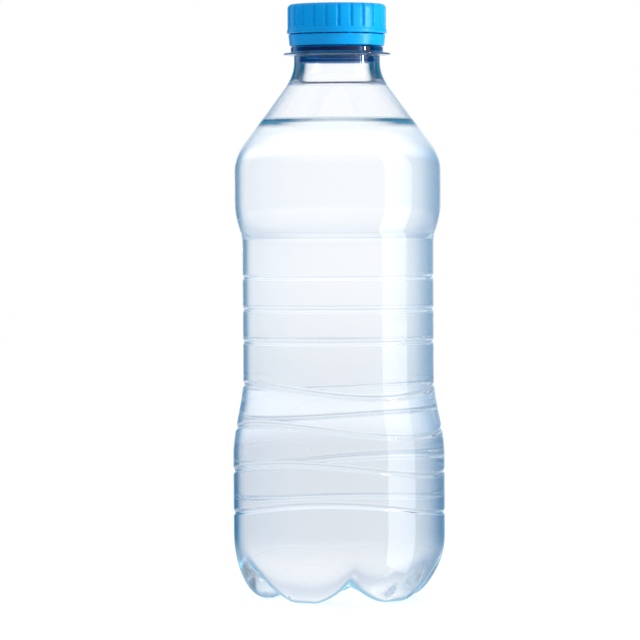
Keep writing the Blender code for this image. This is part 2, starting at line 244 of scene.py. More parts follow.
# The wall's shade by how far a way through the bottle rises, from -1 to 1
SLOPE_STOPS = [
    (-1.0, (0.80, 0.86, 0.92)),
    (-0.3, (0.93, 0.95, 0.97)),
    (-0.1, (1.0, 1.0, 1.0)),
    (0.09, (0.98, 0.985, 0.99)),
    (0.16, (0.88, 0.91, 0.94)),
    (0.22, (0.68, 0.74, 0.82)),
    (0.27, (0.72, 0.78, 0.85)),
    (0.36, (0.96, 0.98, 0.99)),
    (1.0, (0.96, 0.98, 1.0)),
]
WALL_ABOVE = (0.80, 0.88, 0.94, 1)
WALL_BELOW = (0.90, 0.95, 0.99, 1)
CEILING = (0.66, 0.71, 0.78, 1)
ROOM_BELOW = (0.92, 0.96, 1.0, 1)
STUDIO_STRENGTH = 1.08
GLINT_STRENGTH = 0.3            # more light in a band just under the horizon
SOFTBOX_AZIMUTH = 109           # degrees
SOFTBOX_DISTANCE = 0.62
SOFTBOX_WIDTH = 0.40
SOFTBOX_SPLIT = 0.075           # the height where its two halves meet
FLOOR_REACH = 3.0
FLOOR_DROP = 0.05 * MM
BOUNCES = 192                   # a way through the nested skins takes very many


def eased(low, high, position):
    """Rises from 0 to 1 between low and high as 3 t^2 - 2 t^3."""
    share = np.clip((position - low) / (high - low), 0, 1)
    return share * share * (3 - 2 * share)


def body_spans():
    """The wall's spans, each as low and high (height, radius, slope)."""
    crease_radius = WAIST_RADIUS + CREASE_STEP
    step_slope = 2 * CREASE_STEP / (CREASE - WAIST_TOP)
    undercut_slope = 2 * (SHOULDER_RADIUS - crease_radius) / (BULGE_BOTTOM - CREASE)
    bends = (SHOULDER_CURVE + NECK_CURVE) / 2
    slope = (NECK_RADIUS - SHOULDER_RADIUS) / (NECK_BOTTOM - BULGE_TOP - bends)
    cone_low = (BULGE_TOP + SHOULDER_CURVE, SHOULDER_RADIUS + slope * SHOULDER_CURVE / 2, slope)
    cone_high = (NECK_BOTTOM - NECK_CURVE, NECK_RADIUS - slope * NECK_CURVE / 2, slope)
    return (
        ((0, HIP_RADIUS, 0), (HIP_TOP, HIP_RADIUS, 0)),
        ((HIP_TOP, HIP_RADIUS, 0), (WAIST_BOTTOM, WAIST_RADIUS, 0)),
        ((WAIST_BOTTOM, WAIST_RADIUS, 0), (WAIST_TOP, WAIST_RADIUS, 0)),
        ((WAIST_TOP, WAIST_RADIUS, 0), (CREASE, crease_radius, step_slope)),
        ((CREASE, crease_radius, undercut_slope), (BULGE_BOTTOM, SHOULDER_RADIUS, 0)),
        ((BULGE_BOTTOM, SHOULDER_RADIUS, 0), (BULGE_TOP, SHOULDER_RADIUS, 0)),
        ((BULGE_TOP, SHOULDER_RADIUS, 0), cone_low),
        (cone_low, cone_high),
        (cone_high, (NECK_BOTTOM, NECK_RADIUS, 0)),
        ((NECK_BOTTOM, NECK_RADIUS, 0), (RIM, NECK_RADIUS, 0)),
    )


def body_radius(height):
    """Radius of the smooth wall: in each span the cubic through its two ends that
    has their slopes, r0 + (r1 - r0)(3t^2 - 2t^3) + s0 L t(1-t)^2 + s1 L t^2(t-1)."""
    radius = np.zeros_like(height)
    for low, high in body_spans():
        length = high[0] - low[0]
        t = np.clip((height - low[0]) / length, 0, 1)
        curve = low[1] + (high[1] - low[1]) * t * t * (3 - 2 * t)
        curve += low[2] * length * t * (1 - t) ** 2 + high[2] * length * t * t * (t - 1)
        radius = np.where((height >= low[0]) & (height <= high[0]), curve, radius)
    return radius


def bump(distance, half):
    """A smooth bump, 1 in the middle and 0 from half on: (1 + cos(pi d / half)) / 2."""
    return (1 + np.cos(pi * np.clip(np.abs(distance) / half, 0, 1))) / 2


def groove_depth(height):
    """How far the round-bottomed grooves press the wall in, before the waves."""
    depth = np.zeros_like(height)
    for i in range(GROOVES):
        depth += GROOVE_DEPTH * bump(height - GROOVE_LOW - i * GROOVE_PITCH, GROOVE_HALF)
    for i in range(RIBS):
        depth += RIB_DEPTH * bump(height - RIB_LOW - i * RIB_PITCH, RIB_HALF)
    return depth


def wave_drop(height, angle):
    """How far the waves lower a row: swing * cos(2 (angle - low angle)), where the
    low angle turns on from rib to rib and the swing fades out above and below."""
    low_angle = WAVE_LOW_ANGLE + WAVE_TURN * (height - RIB_LOW) / RIB_PITCH
    fade = eased(BASE_HEIGHT, RIB_LOW, height)
    fade = fade * (1 - eased(RIB_LOW + (RIBS - 1) * RIB_PITCH, WAVE_FADE_TOP, height))
    return WAVE_SWING * fade * np.cos(WAVES * (angle - low_angle))


def base_height(radius, angle):
    """Height of the base: through a foot a quarter ellipse down to the flat pad and
    a parabola up to the middle, along a valley a quarter superellipse, and between
    them a blend by the angle, |sin(5/2 (angle - valley))| spread from floor to pad
    and raised to the flank's power."""
    share = np.clip((radius - PAD_OUTER) / (HIP_RADIUS - PAD_OUTER), 0, 1)
    foot = BASE_HEIGHT * (1 - np.sqrt(1 - share * share))
    dome = CENTRE_RISE * (1 - np.clip(radius / PAD_INNER, 0, 1) ** 2)
    foot = np.where(radius <= PAD_INNER, dome, foot)
    reach = np.clip(radius / HIP_RADIUS, 0, 1)
    drop = (1 - reach ** VALLEY_SHAPE) ** (1 / VALLEY_SHAPE)
    valley = BASE_HEIGHT - (BASE_HEIGHT - CENTRE_RISE) * drop
    turn = np.abs(np.sin(FEET / 2 * (angle - VALLEY_ANGLE)))
    floor = sin(FEET / 2 * FLOOR_HALF_ANGLE)
    pad = cos(FEET / 2 * PAD_HALF_ANGLE)
    share = np.clip((turn - floor) / (pad - floor), 0, 1) ** FLANK_POWER
    return foot + (1 - share) * (valley - foot)


def wall_thickness(height):
    """Thin where the wall was blown out, thick in the neck, eased between them."""
    return WALL + (NECK_WALL - WALL) * eased(THICK_BOTTOM - THICK_FADE, THICK_BOTTOM, height)


def rows_between(stops):
    """Row positions from a list of (end, longest step up to it), the first one alone."""
    start = stops[0]
    rows = [np.array([start])]
    for end, step in stops[1:]:
        count = max(1, int(np.ceil((end - start) / step)))
        rows.append(np.linspace(start, end, count + 1)[1:])
        start = end
    return np.concatenate(rows)


def base_rows():
    """Radii of the base's rows: even ones out to the pads' rims, then ones that crowd
    towards the wall as r0 + (r1 - r0) sin(turn)."""
    flat = rows_between([1.0 * MM, (PAD_INNER, PLAIN_STEP), (PAD_OUTER, PLAIN_STEP / 2)])
    turn = np.linspace(0, pi / 2, FLANK_ROWS + 1)[1:-1]
    return np.concatenate([flat, PAD_OUTER + (HIP_RADIUS - PAD_OUTER) * np.sin(turn)])


def wall_rows(fine, top):
    """Nominal heights of the wall's rows up to top: a fine step in the grooves, with
    one more row close beside each, so that their shading ends there."""
    stops = [BASE_HEIGHT]
    middles = [(RIB_LOW + i * RIB_PITCH, RIB_HALF) for i in range(RIBS)]
    middles += [(GROOVE_LOW + i * GROOVE_PITCH, GROOVE_HALF) for i in range(GROOVES)]
    middles += [(CREASE, fine)]
    for middle, half in middles:
        low, high = middle - half, middle + half
        stops += [(low - fine, PLAIN_STEP), (low, fine), (high, fine), (high + fine, fine)]
    stops += [(BULGE_BOTTOM, PLAIN_STEP), (BULGE_TOP, PLAIN_STEP), (top, PLAIN_STEP)]
    return rows_between(stops)


def cylinder_frame(radius, height):
    """Unit normals of a turned grid, in its own radial, round and up directions: the
    cross product of the slopes along the columns and along the rows."""
    round_r = (np.roll(radius, -1, 1) - np.roll(radius, 1, 1)) * radius.shape[1] / (2 * TURN)
    round_z = (np.roll(height, -1, 1) - np.roll(height, 1, 1)) * radius.shape[1] / (2 * TURN)
    up_r = np.gradient(radius, axis=0)
    up_z = np.gradient(height, axis=0)
    normal = np.stack([radius * up_z, round_z * up_r - round_r * up_z, -radius * up_r])
    return normal / np.maximum(np.linalg.norm(normal, axis=0), 1e-12)


def placed(radius, angle, height, sideways=0.0):
    """Points of a grid from radius, angle and height, moved sideways round the axis."""
    x = radius * np.sin(angle) + sideways * np.cos(angle)
    y = -radius * np.cos(angle) + sideways * np.sin(angle)
    return np.stack([x, y, height + 0 * x], axis=-1)


def skin(rows_in_base, heights, inset, steps):
    """The body's skin as a grid of points, from a small ring round the base's middle
    up to the last of the heights, moved in along its own normals by inset(height)."""
    angle = np.arange(steps)[None, :] * TURN / steps
    reach = rows_in_base[:, None] + 0 * angle
    low = base_height(reach, angle)
    nominal = heights[:, None] + 0 * angle
    high = nominal - wave_drop(nominal, angle)
    wide = body_radius(high) - groove_depth(nominal)
    radius = np.concatenate([reach, wide])
    height = np.concatenate([low, high])
    normal = cylinder_frame(radius, height)
    depth = inset(height)
    return placed(radius - normal[0] * depth, angle, height - normal[2] * depth, -normal[1] * depth)


def turned(outline, steps):
    """An outline of (radius, height) carried round the axis as a grid of points."""
    outline = np.array(outline)
    angle = np.arange(steps)[None, :] * TURN / steps
    return placed(outline[:, :1] + 0 * angle, angle, outline[:, 1:] + 0 * angle)


def rounded(points, radius, pieces=4):
    """An outline whose inner corners are rounded: each corner becomes a quadratic
    curve (1-t)^2 a + 2t(1-t) corner + t^2 b between points at that distance."""
    points = np.array(points, dtype=float)
    t = np.linspace(0, 1, pieces + 1)[:, None]
    made = [points[:1]]
    for before, corner, after in zip(points[:-2], points[1:-1], points[2:]):
        reach_a = min(radius, np.linalg.norm(before - corner) * 0.48)
        reach_b = min(radius, np.linalg.norm(after - corner) * 0.48)
        a = corner + (before - corner) / np.linalg.norm(before - corner) * reach_a
        b = corner + (after - corner) / np.linalg.norm(after - corner) * reach_b
        made.append((1 - t) ** 2 * a + 2 * t * (1 - t) * corner + t * t * b)
    made.append(points[-1:])
    return np.concatenate(made)


def cut_finer(outline, longest):
    """The outline with its long stretches cut into pieces no longer than longest."""
    made = [outline[:1]]
    for a, b in zip(outline[:-1], outline[1:]):
        pieces = max(1, int(np.ceil(np.linalg.norm(b - a) / longest)))
        t = np.linspace(0, 1, pieces + 1)[1:, None]
        made.append(a + (b - a) * t)
    return np.concatenate(made)


def helix(height, angle, start, lead, turns, half):
    """A thread's ridge, 1 on its crest: a bump across the line start + lead * turn,
    faded in and out over a twelfth of a turn at its ends."""
    ridge = np.zeros_like(height)
    for whole in range(int(turns) + 1):
        turn = angle / TURN + whole
        fade = eased(0, 1 / 12, turn) * (1 - eased(turns - 1 / 12, turns, turn))
        ridge = np.maximum(ridge, fade * bump(height - start - lead * turn, half))
    return ridge


def grid_mesh(name, points, bottom=None, top=None, looped=False):
    """A mesh from a grid of points that closes round its columns. A height for the
    bottom or the top closes that end with a fan to a point on the axis, and a looped
    grid also joins its last row to its first."""
    rows, columns = points.shape[:2]
    row = np.arange(rows if looped else rows - 1)[:, None] * columns
    column = np.arange(columns)[None, :]
    beside = (column + 1) % columns
    above = (row + columns) % (rows * columns)
    quads = np.stack([row + column, row + beside, above + beside, above + column], axis=-1)
    faces = quads.reshape(-1, 4).tolist()
    vertices = points.reshape(-1, 3)
    around = np.arange(columns)
    for height, start, flip in ((bottom, 0, True), (top, (rows - 1) * columns, False)):
        if height is None:
            continue
        middle = np.full(columns, len(vertices))
        vertices = np.concatenate([vertices, [[0, 0, height]]])
        a, b = start + around, start + (around + 1) % columns
        fan = np.stack([b, a, middle] if flip else [a, b, middle], axis=-1)
        faces += fan.tolist()
    mesh = bpy.data.meshes.new(name)
    mesh.from_pydata(vertices, [], faces)
    mesh.shade_smooth()
    return mesh


def piece(mesh, finish, body, slot, *nodes):
    """Puts a mesh in the scene as a piece of a body, in place of its solids."""
    mesh.materials.append(finish)
    added = bpy.data.objects.new(mesh.name, mesh)
    bpy.context.scene.collection.objects.link(added)
    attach(added, body)
    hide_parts(*nodes)


class Value:
    """A value in a node tree. Arithmetic on it adds Math nodes."""

    def __init__(self, tree, socket):
        self.tree = tree
        self.socket = socket

    def maths(self, operation, first, second=0.0):
        return self.tree.add("ShaderNodeMath", {"operation": operation}, {0: first, 1: second})

    def __add__(self, other):
        return self.maths("ADD", self, other)

    def __mul__(self, other):
        return self.maths("MULTIPLY", self, other)

    def __truediv__(self, other):
        return self.maths("DIVIDE", self, other)

    def __pow__(self, other):
        return self.maths("POWER", self, other)

    __radd__ = __add__
    __rmul__ = __mul__

    def span(self, low, high, to_low=0.0, to_high=1.0):
        """Runs smoothly from to_low to to_high while this runs from low to high."""
        values = {"Value": self, "From Min": low, "From Max": high, "To Min": to_low, "To Max": to_high}
        return self.tree.add("ShaderNodeMapRange", {"interpolation_type": "SMOOTHSTEP"}, values)


class Tree:
    """A node tree that nodes are added to."""

    def __init__(self, owner):
        owner.use_nodes = True
        self.nodes = owner.node_tree.nodes
        self.links = owner.node_tree.links
        self.nodes.clear()

    def add(self, kind, settings=None, values=None, output=0):
        """Adds a node: its settings first, with a ramp's stops as (place, colour),
        then the numbers, colours or links of its sockets. Gives back one output."""
        node = self.nodes.new(kind)
        for name, setting in (settings or {}).items():
            if name == "stops":
                fill_ramp(node.color_ramp, setting)
            else:
                setattr(node, name, setting)
        for key, value in (values or {}).items():
            if isinstance(value, Value):
                self.links.new(value.socket, node.inputs[key])
            else:
                node.inputs[key].default_value = value
        return Value(self, node.outputs[output])

    def mix(self, factor, first, second, blend="MIX"):
        """A colour between two colours, or the two blended in another way."""
        settings = {"data_type": "RGBA", "blend_type": blend}
        return self.add("ShaderNodeMix", settings, {0: factor, 6: first, 7: second}, 2)

    def noise(self, place, scale, detail):
        """A noise texture's value at a place, in features a metre."""
        return self.add("ShaderNodeTexNoise", None, {"Vector": place, "Scale": scale, "Detail": detail})

    def ramp(self, factor, stops, reach):
        """A colour by a factor of 0 to 1, from stops whose places span reach round 0."""
        places = [(place / reach + 0.5, colour) for place, colour in stops]
        return self.add("ShaderNodeValToRGB", {"stops": places}, {"Fac": factor})

    def split(self, vector):
        """A vector's x, y and z."""
        whole = self.add("ShaderNodeSeparateXYZ", None, {"Vector": vector})
        return [Value(self, output) for output in whole.socket.node.outputs]

    def height(self):
        """The height of the surface's point, in metres."""
        return self.split(self.here())[2]

    def here(self):
        """The point of the surface, in the piece's own metres."""
        return self.add("ShaderNodeTexCoord", None, None, "Object")

    def direct(self):
        """1 on a way straight through the bottle, and down to 0 for light that has
        crossed more skins than that, which would come out black of their tint."""
        crossed = self.add("ShaderNodeLightPath", None, None, "Ray Depth")
        return crossed.span(CROSSINGS + 4, CROSSINGS)

    def edge_on(self):
        """How far the surface is seen edge on, from 0 to 1."""
        return self.add("ShaderNodeLayerWeight", None, {"Blend": 0.5}, "Facing")

    def relief(self, height, distance, strength):
        """A normal from a height of 0 to 1 that stands for a distance."""
        values = {"Height": height, "Distance": distance, "Strength": strength}
        return self.add("ShaderNodeBump", None, values)

    def finish(self, shader, kind="ShaderNodeOutputMaterial"):
        """Ends the tree with the shader as its surface."""
        output = self.nodes.new(kind)
        self.links.new(shader.socket, output.inputs["Surface"])


def fill_ramp(ramp, stops):
    """Gives a colour ramp its stops, as (place, colour)."""
    while len(ramp.elements) < len(stops):
        ramp.elements.new(1.0)
    for element, (place, colour) in zip(ramp.elements, stops):
        element.position = place
        element.color = (*colour, 1.0)


def new_material(name):
    """An empty material and its tree."""
    made = bpy.data.materials.new(name)
    return made, Tree(made)


def lit_through(tree, shader):
    """The shader, which lamps shine through as if it weren't there."""
    path = tree.add("ShaderNodeLightPath", None, None, "Is Shadow Ray")
    clear = tree.add("ShaderNodeBsdfTransparent", None, {"Color": THROUGH_TO_LAMPS})
    return tree.add("ShaderNodeMixShader", None, {0: path, 1: shader, 2: clear})


def tinted(tree, cast, zones):
    """The cast with each zone's colour laid on by the zone's share of 0 to 1."""
    for share, colour in zones:
        cast = tree.mix(share, cast, colour)
    return cast


def clear_plastic():
    """Clear blown plastic, with the slow unevenness of blowing and fine upright draw lines. Its colour
    carries painted shade by zones of height, most of them where the wall is seen edge on, and only in light
    that has come nearly straight through: a darker lower body, dark edges that are partly the tint of a
    longer way through the plastic, and dark bands at the neck, collar, ring and water line."""
    made, tree = new_material("clear_pet")
    place = tree.here()
    long_place = tree.add("ShaderNodeMapping", None, {"Vector": place, "Scale": (1, 1, 0.12)})
    swell = tree.noise(place, 90, 1.0)
    drawn = tree.noise(long_place, 420, 2.0)
    relief = tree.relief(swell * 0.8 + drawn * 0.2, 0.05 * MM, 0.35)
    direct = tree.direct()
    edge = tree.edge_on() * direct
    height = tree.height()
    # painted shade: the lower body made darker and greyer, for the dimmer backdrop seen through it
    lower_body_shade = height.span(112 * MM, 45 * MM) * height.span(5 * MM, 22 * MM)
    # painted shade: the thick neck near black where it is seen edge on
    neck = height.span(THICK_BOTTOM - 2 * THICK_FADE, THICK_BOTTOM + THICK_FADE)
    # painted shade: the clear collar and ring made dark navy, with a painted refraction of the blue cap
    collar_shade = height.span(RING_BOTTOM - 0.1 * MM, RING_BOTTOM + 0.2 * MM)
    # painted shade: a dark blue band just under the support ring
    under_ring_shade = height.span(RING_BOTTOM - 2.6 * MM, RING_BOTTOM - 1.8 * MM)
    under_ring_shade = under_ring_shade * height.span(RING_BOTTOM - 0.4 * MM, RING_BOTTOM - 0.8 * MM)
    below_top = height.span(WATER_LEVEL + 0.6 * MM, WATER_LEVEL + 0.2 * MM)
    # painted shade: a dark line just under the water's level, at the edges
    water_line_shade = height.span(WATER_LEVEL - 1.0 * MM, WATER_LEVEL - 0.5 * MM) * below_top
    # painted shade: a dark band at the edges a few millimetres under the water's level
    brim_shade = height.span(WATER_LEVEL - 3.0 * MM, WATER_LEVEL - 1.0 * MM) * below_top
    # painted shade: dark blue edges round the hip
    hip = height.span(62 * MM, 30 * MM)
    # painted shade: dark blue edges round the feet
    foot = height.span(21 * MM, 14 * MM)
    cast = tinted(tree, CLEAR, [
        (lower_body_shade * direct, LOWER_BODY_SHADE),
        # where the wall is seen edge on: partly the tint of a longer way through the plastic, partly
        # painted shade darkening the edges
        (edge ** 4.0, WALL_EDGE_TINT_AND_SHADE),
        (neck * edge.span(0.34, 0.54), NECK_EDGE_SHADE),
        (collar_shade, COLLAR_SHADE_BLUE),
        (under_ring_shade, UNDER_RING_SHADE),
        (water_line_shade * edge.span(0.06, 0.40), WATER_LINE_SHADE),
        (brim_shade * edge.span(0.2, 0.5), BRIM_EDGE_SHADE),
        (hip * edge.span(0.45, 0.85), HIP_EDGE_SHADE),
        (foot * edge.span(0.5, 0.8), FOOT_EDGE_SHADE),
    ])
    scuff = tree.noise(place, 700, 3.0)
    shader = tree.add("ShaderNodeBsdfPrincipled", None, {
        "Base Color": cast, "Roughness": scuff.span(0.5, 0.9, 0.0, 0.03),
        "IOR": 1.5, "Transmission Weight": 1.0, "Normal": relief,
    })
    tree.finish(lit_through(tree, shader))
    return made


def still_water():
    """Water: clear, faintly blue where it is seen edge on, partly painted shade, and with painted shade in
    dark blue along the rim of its surface and just below it, where it meets the cone."""
    made, tree = new_material("water")
    direct = tree.direct()
    edge = tree.edge_on() * direct
    x, y, height = tree.split(tree.here())
    wall = float(body_radius(np.array([WATER_LEVEL]))[0])
    rim = ((x * x + y * y) ** 0.5).span(wall - 3.0 * MM, wall - 1.5 * MM)
    # painted shade: dark blue where the surface's rim climbs the wall
    rim_climb_shade = height.span(WATER_LEVEL - 0.7 * MM, WATER_LEVEL - 0.1 * MM) * rim
    # painted shade: a dark band at the edges just under the water's level
    wedge_shade = height.span(WATER_LEVEL - 2.4 * MM, WATER_LEVEL - 0.4 * MM)
    cast = tinted(tree, WATER_CLEAR, [
        # where the water is seen edge on: partly the tint of a longer way through it, partly painted shade
        (edge ** 4.0, WATER_EDGE_TINT_AND_SHADE),
        (rim_climb_shade * edge.span(0.0, 0.6, 0.45, 1.0), SURFACE_RIM_SHADE),
        (wedge_shade * edge.span(0.4, 0.8), WEDGE_EDGE_SHADE),
    ])
    shader = tree.add("ShaderNodeBsdfPrincipled", None, {
        "Base Color": cast, "Roughness": 0.0, "IOR": 1.333, "Transmission Weight": 1.0,
    })
    tree.finish(lit_through(tree, shader))
    return made


def blue_plastic():
    """Moulded blue closure plastic: satin, a little cloudy, with a fine grain."""
    made, tree = new_material("blue_cap")
    place = tree.here()
    cloud = tree.noise(place, 160, 3.0)
    grain = tree.noise(place, 2600, 2.0)
    colour = tree.mix(cloud.span(0.3, 0.7), *CAP_BLUES)
    shader = tree.add("ShaderNodeBsdfPrincipled", None, {
        "Base Color": colour, "Roughness": cloud.span(0.3, 0.7, 0.24, 0.32),
        "IOR": 1.45, "Specular IOR Level": 0.22, "Normal": tree.relief(grain, 0.012 * MM, 0.4),
    })
    tree.finish(shader)
    return made


def white_plastic():
    """The sealing liner: soft white plastic, matt, with a faint grain."""
    made, tree = new_material("white_liner")
    grain = tree.noise(tree.here(), 1500, 2.0)
    shader = tree.add("ShaderNodeBsdfPrincipled", None, {
        "Base Color": tree.mix(grain, *LINER_WHITES),
        "Roughness": grain.span(0.3, 0.7, 0.55, 0.68), "Normal": tree.relief(grain, 0.01 * MM, 0.5),
    })
    tree.finish(shader)
    return made


def bottle_grid():
    """The whole shell of the bottle: the outer skin up to the ring, the turned outline
    of the neck finish with its thread as a ridge, over the rim, and the inner skin."""
    angle = np.arange(BODY_STEPS)[None, :] * TURN / BODY_STEPS
    neck = NECK_BOTTOM - NECK_CURVE
    bend = rows_between([neck, (RING_BOTTOM, 1.0 * MM)])
    tall = np.concatenate([wall_rows(FINE_STEP, neck), bend[1:-1]])
    outer = skin(base_rows(), tall, lambda height: 0 * height, BODY_STEPS)

    tip = (RING_BOTTOM + COLLAR_BOTTOM) / 2
    corners = [
        (NECK_RADIUS, RING_BOTTOM - 0.9 * MM),
        (NECK_RADIUS, RING_BOTTOM),
        (COLLAR_RADIUS, RING_BOTTOM),
        (RING_RADIUS, tip - RING_EDGE_HALF),
        (RING_RADIUS, tip + RING_EDGE_HALF),
        (COLLAR_RADIUS, COLLAR_BOTTOM),
        (COLLAR_RADIUS, COLLAR_TOP),
        (FINISH_RADIUS, COLLAR_TOP),
        (FINISH_RADIUS, BEAD_BOTTOM),
        (BEAD_RADIUS, BEAD_BOTTOM),
        (BEAD_RADIUS, BEAD_TOP),
        (FINISH_RADIUS, BEAD_END),
        (FINISH_RADIUS, RIM),
        (BORE_RADIUS, RIM),
        (BORE_RADIUS, RING_BOTTOM + 1.5 * MM),
    ]
    finish = cut_finer(rounded(corners, 0.35 * MM), 0.45 * MM)
    grid = turned(finish, BODY_STEPS)
    radius = np.hypot(grid[..., 0], grid[..., 1])
    ridge = helix(grid[..., 2], angle + 0 * radius, THREAD_START, THREAD_LEAD, THREAD_TURNS, THREAD_HALF)
    on_outside = radius > FINISH_RADIUS - 0.01 * MM
    radius += THREAD_HEIGHT * ridge * on_outside
    grid = placed(radius, angle, grid[..., 2])

    stops = [neck, (THICK_BOTTOM - THICK_FADE, 1.0 * MM), (THICK_BOTTOM, 0.1 * MM)]
    step = rows_between(stops + [(RING_BOTTOM, 1.0 * MM)])
    coarse = np.concatenate([wall_rows(FINE_STEP * 2, neck), step[1:]])
    inner = skin(base_rows()[::2], coarse, wall_thickness, BODY_STEPS)[::-1]
    return np.concatenate([outer, grid, inner])


def water_grid():
    """The filling: the skin moved in to the middle of the wall, up to the level, then
    the surface, which climbs the wall as rise * exp(-distance / reach), with rings
    that crowd towards the wall as edge * (1 - (1 - share)^2)."""
    top = WATER_LEVEL + MENISCUS_RISE
    side = skin(base_rows(), wall_rows(FINE_STEP, top), lambda height: WATER_INSET + 0 * height, BODY_STEPS)
    edge = np.hypot(side[-1, 0, 0], side[-1, 0, 1])
    share = np.linspace(1, 0.03, 40)[1:]
    radius = edge * (1 - (1 - share) ** 2.0)
    height = WATER_LEVEL + (top - WATER_LEVEL) * np.exp(-(edge - radius) / MENISCUS_REACH)
    surface = turned(np.stack([radius, height], axis=1), BODY_STEPS)
    return np.concatenate([side, surface])


def cap_angles():
    """Angles round the cap, close together in the flutes and wide between them, from
    offsets that are shares of a flute's pitch."""
    half = np.array([0, 0.035, 0.07, 0.105, 0.14, 0.18, 0.25, 0.36])
    offsets = np.concatenate([-half[:0:-1], half, [0.5]])
    flutes = np.arange(FLUTES)[:, None]
    return ((flutes + offsets) * TURN / FLUTES + FLUTE_ANGLE).reshape(1, -1)


def cap_grid():
    """The cap as a turned outline, from its ceiling's middle down the inside, round
    the hem and up the outside to the dished top with its gate mark. The flutes press
    it in by depth * bump(arc), and the inner thread is the neck's helix turned in."""
    angle = cap_angles()
    inside = [(1.0 * MM, CAP_CEILING), (CAP_INSIDE, CAP_CEILING), (CAP_INSIDE, 0)]
    hem = [(CAP_RADIUS, 0), (CAP_HEM_RADIUS, HEM_LOW), (CAP_HEM_RADIUS, HEM_HIGH)]
    hem += [(CAP_RADIUS, COLLAR_BAND)]
    inner = cut_finer(rounded(inside + hem, 0.25 * MM), 0.4 * MM)
    turn = np.linspace(0, pi / 2, 9)
    corner_r = CAP_RADIUS - CAP_ROUNDING * (1 - np.cos(turn))
    corner_z = CAP_HEIGHT - CAP_ROUNDING * (1 - np.sin(turn))
    wall = cut_finer(np.array([inner[-1], (corner_r[0], corner_z[0])]), 0.25 * MM)[1:-1]
    corner = np.stack([corner_r, corner_z], axis=1)
    top_r = np.array([14.2, 13.6, 13.3, 13.1, 12.9, 10.0, 7.0, 4.0, 2.4, 2.1, 1.9, 1.6]) * MM
    dish = DISH_DEPTH * eased(*DISH_RIM, top_r)
    gate = GATE_DEPTH * eased(*GATE_RIM, top_r)
    top = np.stack([top_r, CAP_HEIGHT - dish - gate], axis=1)
    outline = np.concatenate([inner, wall, corner, top])
    radius = outline[:, :1] + 0 * angle
    height = outline[:, 1:] + 0 * angle
    arc = (((angle - FLUTE_ANGLE) * FLUTES / TURN + 0.5) % 1 - 0.5) * TURN / FLUTES * CAP_RADIUS
    outside = (np.arange(len(outline)) >= len(inner))[:, None]
    reach = eased(COLLAR_BAND + 0.1 * MM, COLLAR_BAND + 0.7 * MM, height)
    shoulder = CAP_RADIUS - CAP_ROUNDING
    reach = reach * eased(shoulder - 0.8 * MM, shoulder + 0.3 * MM, radius)
    radius = radius - FLUTE_DEPTH * bump(arc, FLUTE_HALF) * reach * outside
    start = THREAD_START - CAP_BOTTOM - THREAD_LEAD / 2
    ridge = helix(height, angle % TURN, start, THREAD_LEAD, THREAD_TURNS, THREAD_HALF)
    on_wall = (np.abs(outline[:, :1] - CAP_INSIDE) < 0.01 * MM) & ~outside
    radius = radius - CAP_THREAD * ridge * on_wall
    return placed(radius, angle, height + CAP_BOTTOM)


def band_grid():
    """The tamper band's closed outline, turned, with the stubs of its bridges as
    bumps round its top edge: height * bump(angle)."""
    corners = [
        (LIP_INSIDE, LIP_HEIGHT / 2),
        (LIP_INSIDE, 0),
        (BAND_BOTTOM_RADIUS, 0),
        (BAND_TOP_RADIUS, BAND_HEIGHT),
        (BAND_INSIDE, BAND_HEIGHT),
        (BAND_INSIDE, LIP_HEIGHT),
        (LIP_INSIDE, LIP_HEIGHT),
        (LIP_INSIDE, LIP_HEIGHT / 2),
    ]
    outline = cut_finer(rounded(corners, 0.3 * MM, 5), 0.5 * MM)[:-1]
    grid = turned(outline, BAND_STEPS)
    angle = np.arange(BAND_STEPS)[None, :] * TURN / BAND_STEPS
    arc = ((angle * BRIDGES / TURN) % 1 - 0.5) * TURN / BRIDGES * BAND_TOP_RADIUS
    on_top = outline[:, 1:] > BAND_HEIGHT - 0.02 * MM
    grid[..., 2] += BAND_BOTTOM + BRIDGE_HEIGHT * bump(arc, BRIDGE_HALF) * on_top
    return grid


def card(name, azimuth, distance, width, low, high, radiance):
    """A soft upright light that the camera doesn't see: its degrees from straight
    behind the bottle towards +X, its distance from the axis, its width, the heights
    that it spans and its radiance."""
    light = bpy.data.lights.new(name, "AREA")
    light.shape = "RECTANGLE"
    light.size = width
    light.size_y = high - low
    light.energy = radiance * pi * width * (high - low)
    holder = bpy.data.objects.new(name, light)
    bpy.context.scene.collection.objects.link(holder)
    turn = radians(azimuth)
    holder.location = (distance * sin(turn), distance * cos(turn), (low + high) / 2)
    holder.rotation_euler = (radians(90), 0, pi - turn)
    holder.visible_camera = False


